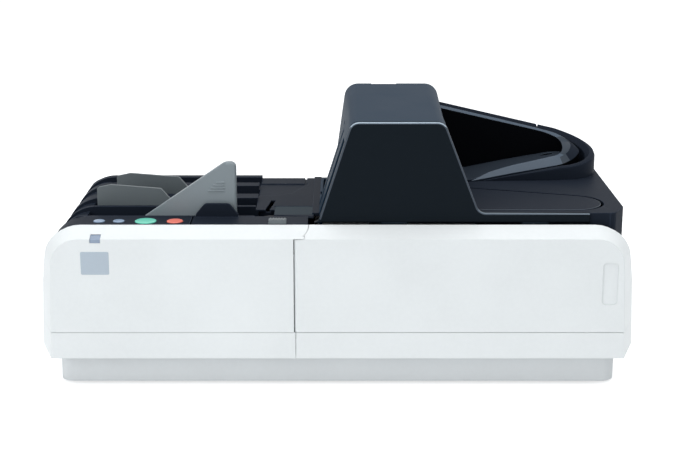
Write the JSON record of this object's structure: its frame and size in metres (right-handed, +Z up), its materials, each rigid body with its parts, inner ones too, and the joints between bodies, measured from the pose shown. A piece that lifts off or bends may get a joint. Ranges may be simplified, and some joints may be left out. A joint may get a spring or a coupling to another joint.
{
  "type": "cheque scanner",
  "caption": "Desktop cheque scanner with a hopper and pockets at the left, a tall reading tower and a looping document track under the right deck, with a swinging front door.",
  "frame": {"origin": "centre of the bounding box's bottom face, on the table under the rubber feet", "axes": "+X to the right along the longest side, +Y to the rear, +Z up"},
  "size_m": [0.56, 0.24, 0.2485],
  "materials": {
    "white_shell": "fine moulded texture",
    "plinth_grey": "fine moulded texture",
    "black_shell": "fine moulded texture",
    "black_front": "fine moulded texture",
    "grey_plastic": "smooth moulded",
    "pusher_grey": "smooth moulded",
    "window_clear": "polished",
    "key_blue": "smooth",
    "key_green": "smooth",
    "key_red": "smooth",
    "rubber_black": "moulded",
    "tyre_rubber": "ground",
    "steel": "zinc plated",
    "aluminium_part": "turned",
    "motor_metal": "plated",
    "dark_plastic": "moulded",
    "board_green": "lacquered"
  },
  "bodies": {
    "frame": {"front_panel_left": "white_shell", "skirt_left": "white_shell", "skirt_right": "white_shell", "side_cover_left": "white_shell", "side_cover_right": "white_shell", "rear_cover": "white_shell", "base_tray": "plinth_grey", "deck_left": "black_shell", "operation_panel": "black_shell", "tower_shell": "black_shell", "deck_right": "black_shell", "lens_cover": "black_shell", "island_cover": "black_shell", "status_window": "window_clear", "rubber_feet": "rubber_black", "feed_belt": "rubber_black", "drive_belt": "rubber_black", "chassis_posts": "steel", "transport_plate": "steel", "pusher_rods": "steel", "pocket_pins": "steel", "hinge_bracket": "steel", "hinge_pin": "steel", "rear_screws": "steel", "track_guides": "steel", "feed_motor": "motor_metal", "drive_motor": "motor_metal", "gate_actuator": "motor_metal", "micr_head": "motor_metal", "usb_port": "motor_metal", "power_supply": "motor_metal", "image_sensor_front": "dark_plastic", "image_sensor_rear": "dark_plastic", "imprinter_cartridge": "dark_plastic", "cartridge_holder": "dark_plastic", "power_inlet": "dark_plastic", "key_board": "board_green", "main_board": "board_green"},
    "front_door": {"front_door": "white_shell", "tower_front_cover": "black_front"},
    "feeder_cover": {"feeder_cover": "black_shell"},
    "feeder_latch": {"feeder_latch": "grey_plastic"},
    "hopper_pusher": {"hopper_pusher": "pusher_grey"},
    "pocket_plate_1": {"pocket_plate_1": "grey_plastic"},
    "pocket_plate_2": {"pocket_plate_2": "grey_plastic"},
    "button_prev": {"button_prev": "key_blue"},
    "button_next": {"button_next": "key_blue"},
    "button_start": {"button_start": "key_green"},
    "button_stop": {"button_stop": "key_red"},
    "pickup_roller": {"pickup_roller": "tyre_rubber"},
    "feed_roller": {"feed_roller": "tyre_rubber"},
    "retard_roller": {"retard_roller": "tyre_rubber"},
    "feed_pulley": {"feed_pulley": "aluminium_part"},
    "drive_pulley": {"drive_pulley": "aluminium_part"},
    "drive_roller_1": {"drive_roller_1": "tyre_rubber"},
    "drive_roller_2": {"drive_roller_2": "tyre_rubber"},
    "pinch_roller_1": {"pinch_roller_1": "steel"},
    "pinch_roller_2": {"pinch_roller_2": "steel"},
    "diverter_gate": {"diverter_gate": "dark_plastic"},
    "power_switch": {"power_switch": "dark_plastic"}
  },
  "joints": [
    {"name": "door_swing", "type": "hinge", "parent": "frame", "child": "front_door", "pos_m": [-0.0356, -0.116, 0.06], "axis": [0, 0, 1], "range_deg": [-95, 0]},
    {"name": "feeder_cover_lift", "type": "hinge", "parent": "frame", "child": "feeder_cover", "pos_m": [-0.1326, -0.082, 0.1506], "axis": [0, -1, 0], "range_deg": [0, 48]},
    {"name": "latch_slide", "type": "slide", "parent": "feeder_cover", "child": "feeder_latch", "axis": [-1, 0, 0], "range_m": [0, 0.0035], "stiffness_N_per_m": 150},
    {"name": "pusher_slide", "type": "slide", "parent": "frame", "child": "hopper_pusher", "axis": [0, 1, 0], "range_m": [0, 0.018], "stiffness_N_per_m": 12, "springref_m": -0.01},
    {"name": "pocket_1_swing", "type": "hinge", "parent": "frame", "child": "pocket_plate_1", "pos_m": [-0.231, -0.0215, 0.14], "axis": [0, 0, 1], "range_deg": [0, 16], "stiffness_Nm_per_rad": 0.02},
    {"name": "pocket_2_swing", "type": "hinge", "parent": "frame", "child": "pocket_plate_2", "pos_m": [-0.219, 0.0275, 0.14], "axis": [0, 0, 1], "range_deg": [0, 16], "stiffness_Nm_per_rad": 0.02},
    {"name": "press_prev", "type": "slide", "parent": "frame", "child": "button_prev", "axis": [0, 0, -1], "range_m": [0, 0.0012], "stiffness_N_per_m": 400, "springref_m": -0.0005},
    {"name": "press_next", "type": "slide", "parent": "frame", "child": "button_next", "axis": [0, 0, -1], "range_m": [0, 0.0012], "stiffness_N_per_m": 400, "springref_m": -0.0005},
    {"name": "press_start", "type": "slide", "parent": "frame", "child": "button_start", "axis": [0, 0, -1], "range_m": [0, 0.0012], "stiffness_N_per_m": 400, "springref_m": -0.0005},
    {"name": "press_stop", "type": "slide", "parent": "frame", "child": "button_stop", "axis": [0, 0, -1], "range_m": [0, 0.0012], "stiffness_N_per_m": 400, "springref_m": -0.0005},
    {"name": "feed_motor_spin", "type": "hinge", "parent": "frame", "child": "feed_pulley", "pos_m": [-0.1494, -0.08177, 0.12], "axis": [0, 0, 1], "continuous": true},
    {"name": "pickup_spin", "type": "hinge", "parent": "frame", "child": "pickup_roller", "pos_m": [-0.1, -0.078, 0.12], "axis": [0, 0, 1], "continuous": true},
    {"name": "feed_spin", "type": "hinge", "parent": "frame", "child": "feed_roller", "pos_m": [-0.062, -0.0751, 0.12], "axis": [0, 0, 1], "continuous": true},
    {"name": "retard_spin", "type": "hinge", "parent": "frame", "child": "retard_roller", "pos_m": [-0.062, -0.0489, 0.12], "axis": [0, 0, 1], "continuous": true},
    {"name": "drive_motor_spin", "type": "hinge", "parent": "frame", "child": "drive_pulley", "pos_m": [0.142, -0.0655, 0.12], "axis": [0, 0, 1], "continuous": true},
    {"name": "drive_spin_1", "type": "hinge", "parent": "frame", "child": "drive_roller_1", "pos_m": [-0.002, -0.0655, 0.12], "axis": [0, 0, 1], "continuous": true},
    {"name": "drive_spin_2", "type": "hinge", "parent": "frame", "child": "drive_roller_2", "pos_m": [0.086, -0.0655, 0.12], "axis": [0, 0, 1], "continuous": true},
    {"name": "pinch_spin_1", "type": "hinge", "parent": "frame", "child": "pinch_roller_1", "pos_m": [-0.002, -0.0819, 0.12], "axis": [0, 0, 1], "continuous": true},
    {"name": "pinch_spin_2", "type": "hinge", "parent": "frame", "child": "pinch_roller_2", "pos_m": [0.086, -0.0819, 0.12], "axis": [0, 0, 1], "continuous": true},
    {"name": "gate_turn", "type": "hinge", "parent": "frame", "child": "diverter_gate", "pos_m": [-0.046, 0.004, 0.135], "axis": [0, 0, 1], "range_deg": [-12, 12]},
    {"name": "switch_rock", "type": "hinge", "parent": "frame", "child": "power_switch", "pos_m": [0.156, 0.113, 0.0775], "axis": [1, 0, 0], "range_deg": [-8, 8]}
  ],
  "couplings": [
    {"joint": "pickup_spin", "follows": "feed_motor_spin", "ratio": 1},
    {"joint": "feed_spin", "follows": "feed_motor_spin", "ratio": 1},
    {"joint": "drive_spin_1", "follows": "drive_motor_spin", "ratio": 1},
    {"joint": "drive_spin_2", "follows": "drive_motor_spin", "ratio": 1},
    {"joint": "pinch_spin_1", "follows": "drive_motor_spin", "ratio": -3},
    {"joint": "pinch_spin_2", "follows": "drive_motor_spin", "ratio": -3}
  ]
}
